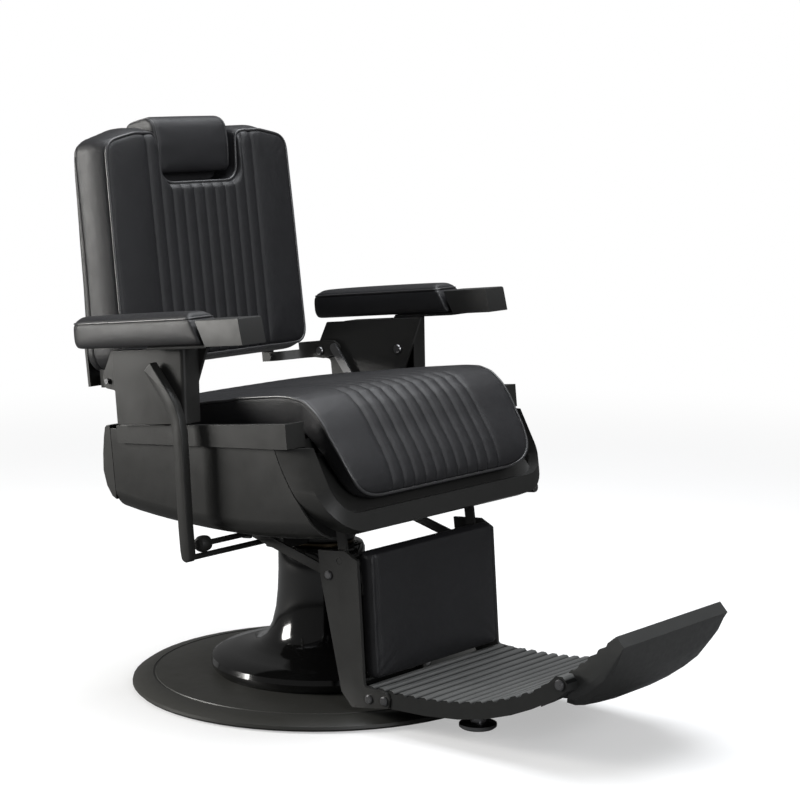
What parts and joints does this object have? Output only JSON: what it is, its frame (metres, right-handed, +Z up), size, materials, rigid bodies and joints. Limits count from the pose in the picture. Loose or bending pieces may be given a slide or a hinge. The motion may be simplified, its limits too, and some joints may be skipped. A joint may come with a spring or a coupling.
{
  "type": "hydraulic barber chair",
  "caption": "Reclining barber chair with a pump lift and swivel on a round base, linked leg rest, folding foot flap and sliding headrest",
  "frame": {"origin": "centre of the base on the floor, on the swivel axis", "axes": "+Z up, -Y is the way the sitter faces, -X is the sitter's right hand, where the pump lever is"},
  "size_m": [0.728, 1.1812, 1.0284],
  "materials": {
    "satin_paint": "satin black powder coat",
    "gloss_paint": "high-gloss black paint",
    "shell": "satin black moulding",
    "satin_plastic": "satin black",
    "upholstery": "black vinyl leather over foam",
    "foot_alloy": "black satin coat",
    "cast_metal": "black as cast",
    "steel": "plain steel",
    "chrome": "polished",
    "bronze": "machined",
    "rubber": "matt",
    "plywood": "unfinished"
  },
  "bodies": {
    "base": {"base_plate": "satin_paint", "base_foot_ring": "rubber", "pump_column": "gloss_paint", "pump_cylinder": "cast_metal", "column_bush": "bronze"},
    "lift": {"lift_ram": "chrome"},
    "seat": {"swivel_hub": "cast_metal", "pump_head": "cast_metal", "seat_frame": "satin_paint", "seat_board": "plywood", "seat_cushion": "upholstery", "side_shell_R": "shell", "side_shell_L": "shell", "rear_shell": "shell", "front_bezel": "satin_paint", "side_rail_R": "satin_paint", "side_rail_L": "satin_paint", "arm_plate_R": "satin_paint", "arm_plate_L": "satin_paint", "arm_cover_R": "satin_paint", "arm_cover_L": "satin_paint", "arm_pad_R": "upholstery", "arm_pad_L": "upholstery", "arm_block_R": "satin_plastic", "arm_block_L": "satin_plastic", "arm_bolt_R": "chrome", "arm_bolt_L": "chrome", "recline_bolt_R": "chrome", "recline_bolt_L": "chrome", "recline_cylinder": "satin_paint", "leg_rest_pivot_rod": "steel"},
    "pump_lever": {"pump_lever": "satin_paint"},
    "recline_handle": {"recline_handle": "satin_plastic"},
    "back": {"back_bracket_R": "satin_paint", "back_bracket_L": "satin_paint", "back_cushion": "upholstery", "back_board": "plywood", "back_panel": "upholstery", "headrest_guide": "satin_paint"},
    "headrest": {"headrest_post": "steel", "headrest_pad": "upholstery"},
    "drag_link_R": {"drag_link_R": "steel"},
    "drag_link_L": {"drag_link_L": "steel"},
    "rocker": {"recline_rocker": "steel"},
    "recline_rod": {"recline_rod": "chrome"},
    "leg_rest": {"leg_plate_R": "satin_paint", "leg_plate_L": "satin_paint", "calf_board": "satin_paint", "calf_pad": "upholstery", "foot_plate": "foot_alloy", "link_pin_rod": "chrome", "heel_rod": "chrome", "toe_rod": "chrome", "foot_bumper_R": "chrome", "foot_bumper_L": "chrome"},
    "leg_link_R": {"leg_link_R": "satin_paint"},
    "leg_link_L": {"leg_link_L": "satin_paint"},
    "flap": {"foot_flap": "foot_alloy", "flap_hinge_rod": "chrome"}
  },
  "joints": [
    {"name": "lift", "type": "slide", "parent": "base", "child": "lift", "axis": [0, 0, 1], "range_m": [0, 0.165]},
    {"name": "swivel", "type": "hinge", "parent": "lift", "child": "seat", "pos_m": [0, 0, 0.33], "axis": [0, 0, 1], "continuous": true},
    {"name": "pump_lever", "type": "hinge", "parent": "seat", "child": "pump_lever", "pos_m": [-0.2, -0.003, 0.286], "axis": [1, 0, 0], "range_deg": [-8, 35]},
    {"name": "recline_handle", "type": "hinge", "parent": "seat", "child": "recline_handle", "pos_m": [-0.2075, -0.006, 0.307], "axis": [0, 1, 0], "range_deg": [0, 5]},
    {"name": "recline", "type": "hinge", "parent": "seat", "child": "back", "pos_m": [0, 0.25, 0.565], "axis": [-1, 0, 0], "range_deg": [0, 50]},
    {"name": "headrest_slide", "type": "slide", "parent": "back", "child": "headrest", "axis": [0, 0.1201, 0.9928], "range_m": [0, 0.1]},
    {"name": "drag_link_R", "type": "hinge", "parent": "back", "child": "drag_link_R", "pos_m": [-0.273, 0.21124, 0.57488], "axis": [-1, 0, 0], "range_deg": [-50, 0]},
    {"name": "drag_link_L", "type": "hinge", "parent": "back", "child": "drag_link_L", "pos_m": [0.273, 0.21124, 0.57488], "axis": [-1, 0, 0], "range_deg": [-50, 0]},
    {"name": "rocker", "type": "hinge", "parent": "seat", "child": "rocker", "pos_m": [0, 0.084, 0.362], "axis": [-1, 0, 0], "range_deg": [0, 50]},
    {"name": "recline_rod", "type": "slide", "parent": "seat", "child": "recline_rod", "axis": [0, 1, 0], "range_m": [0, 0.0306]},
    {"name": "leg_rest", "type": "hinge", "parent": "seat", "child": "leg_rest", "pos_m": [0, -0.212, 0.285], "axis": [-1, 0, 0], "range_deg": [0, 50]},
    {"name": "leg_link_R", "type": "hinge", "parent": "leg_rest", "child": "leg_link_R", "pos_m": [-0.1812, -0.188, 0.257], "axis": [-1, 0, 0], "range_deg": [-50, 0]},
    {"name": "leg_link_L", "type": "hinge", "parent": "leg_rest", "child": "leg_link_L", "pos_m": [0.1812, -0.188, 0.257], "axis": [-1, 0, 0], "range_deg": [-50, 0]},
    {"name": "flap", "type": "hinge", "parent": "leg_rest", "child": "flap", "pos_m": [0, -0.677, 0.15], "axis": [-1, 0, 0], "range_deg": [0, 90]}
  ],
  "couplings": [
    {"joint": "rocker", "follows": "recline", "ratio": 1},
    {"joint": "leg_rest", "follows": "recline", "ratio": 1},
    {"joint": "drag_link_R", "follows": "recline", "ratio": -1},
    {"joint": "drag_link_L", "follows": "recline", "ratio": -1},
    {"joint": "leg_link_R", "follows": "recline", "ratio": -1},
    {"joint": "leg_link_L", "follows": "recline", "ratio": -1},
    {"joint": "recline_rod", "follows": "recline", "m_per_rad": 0.0348}
  ]
}
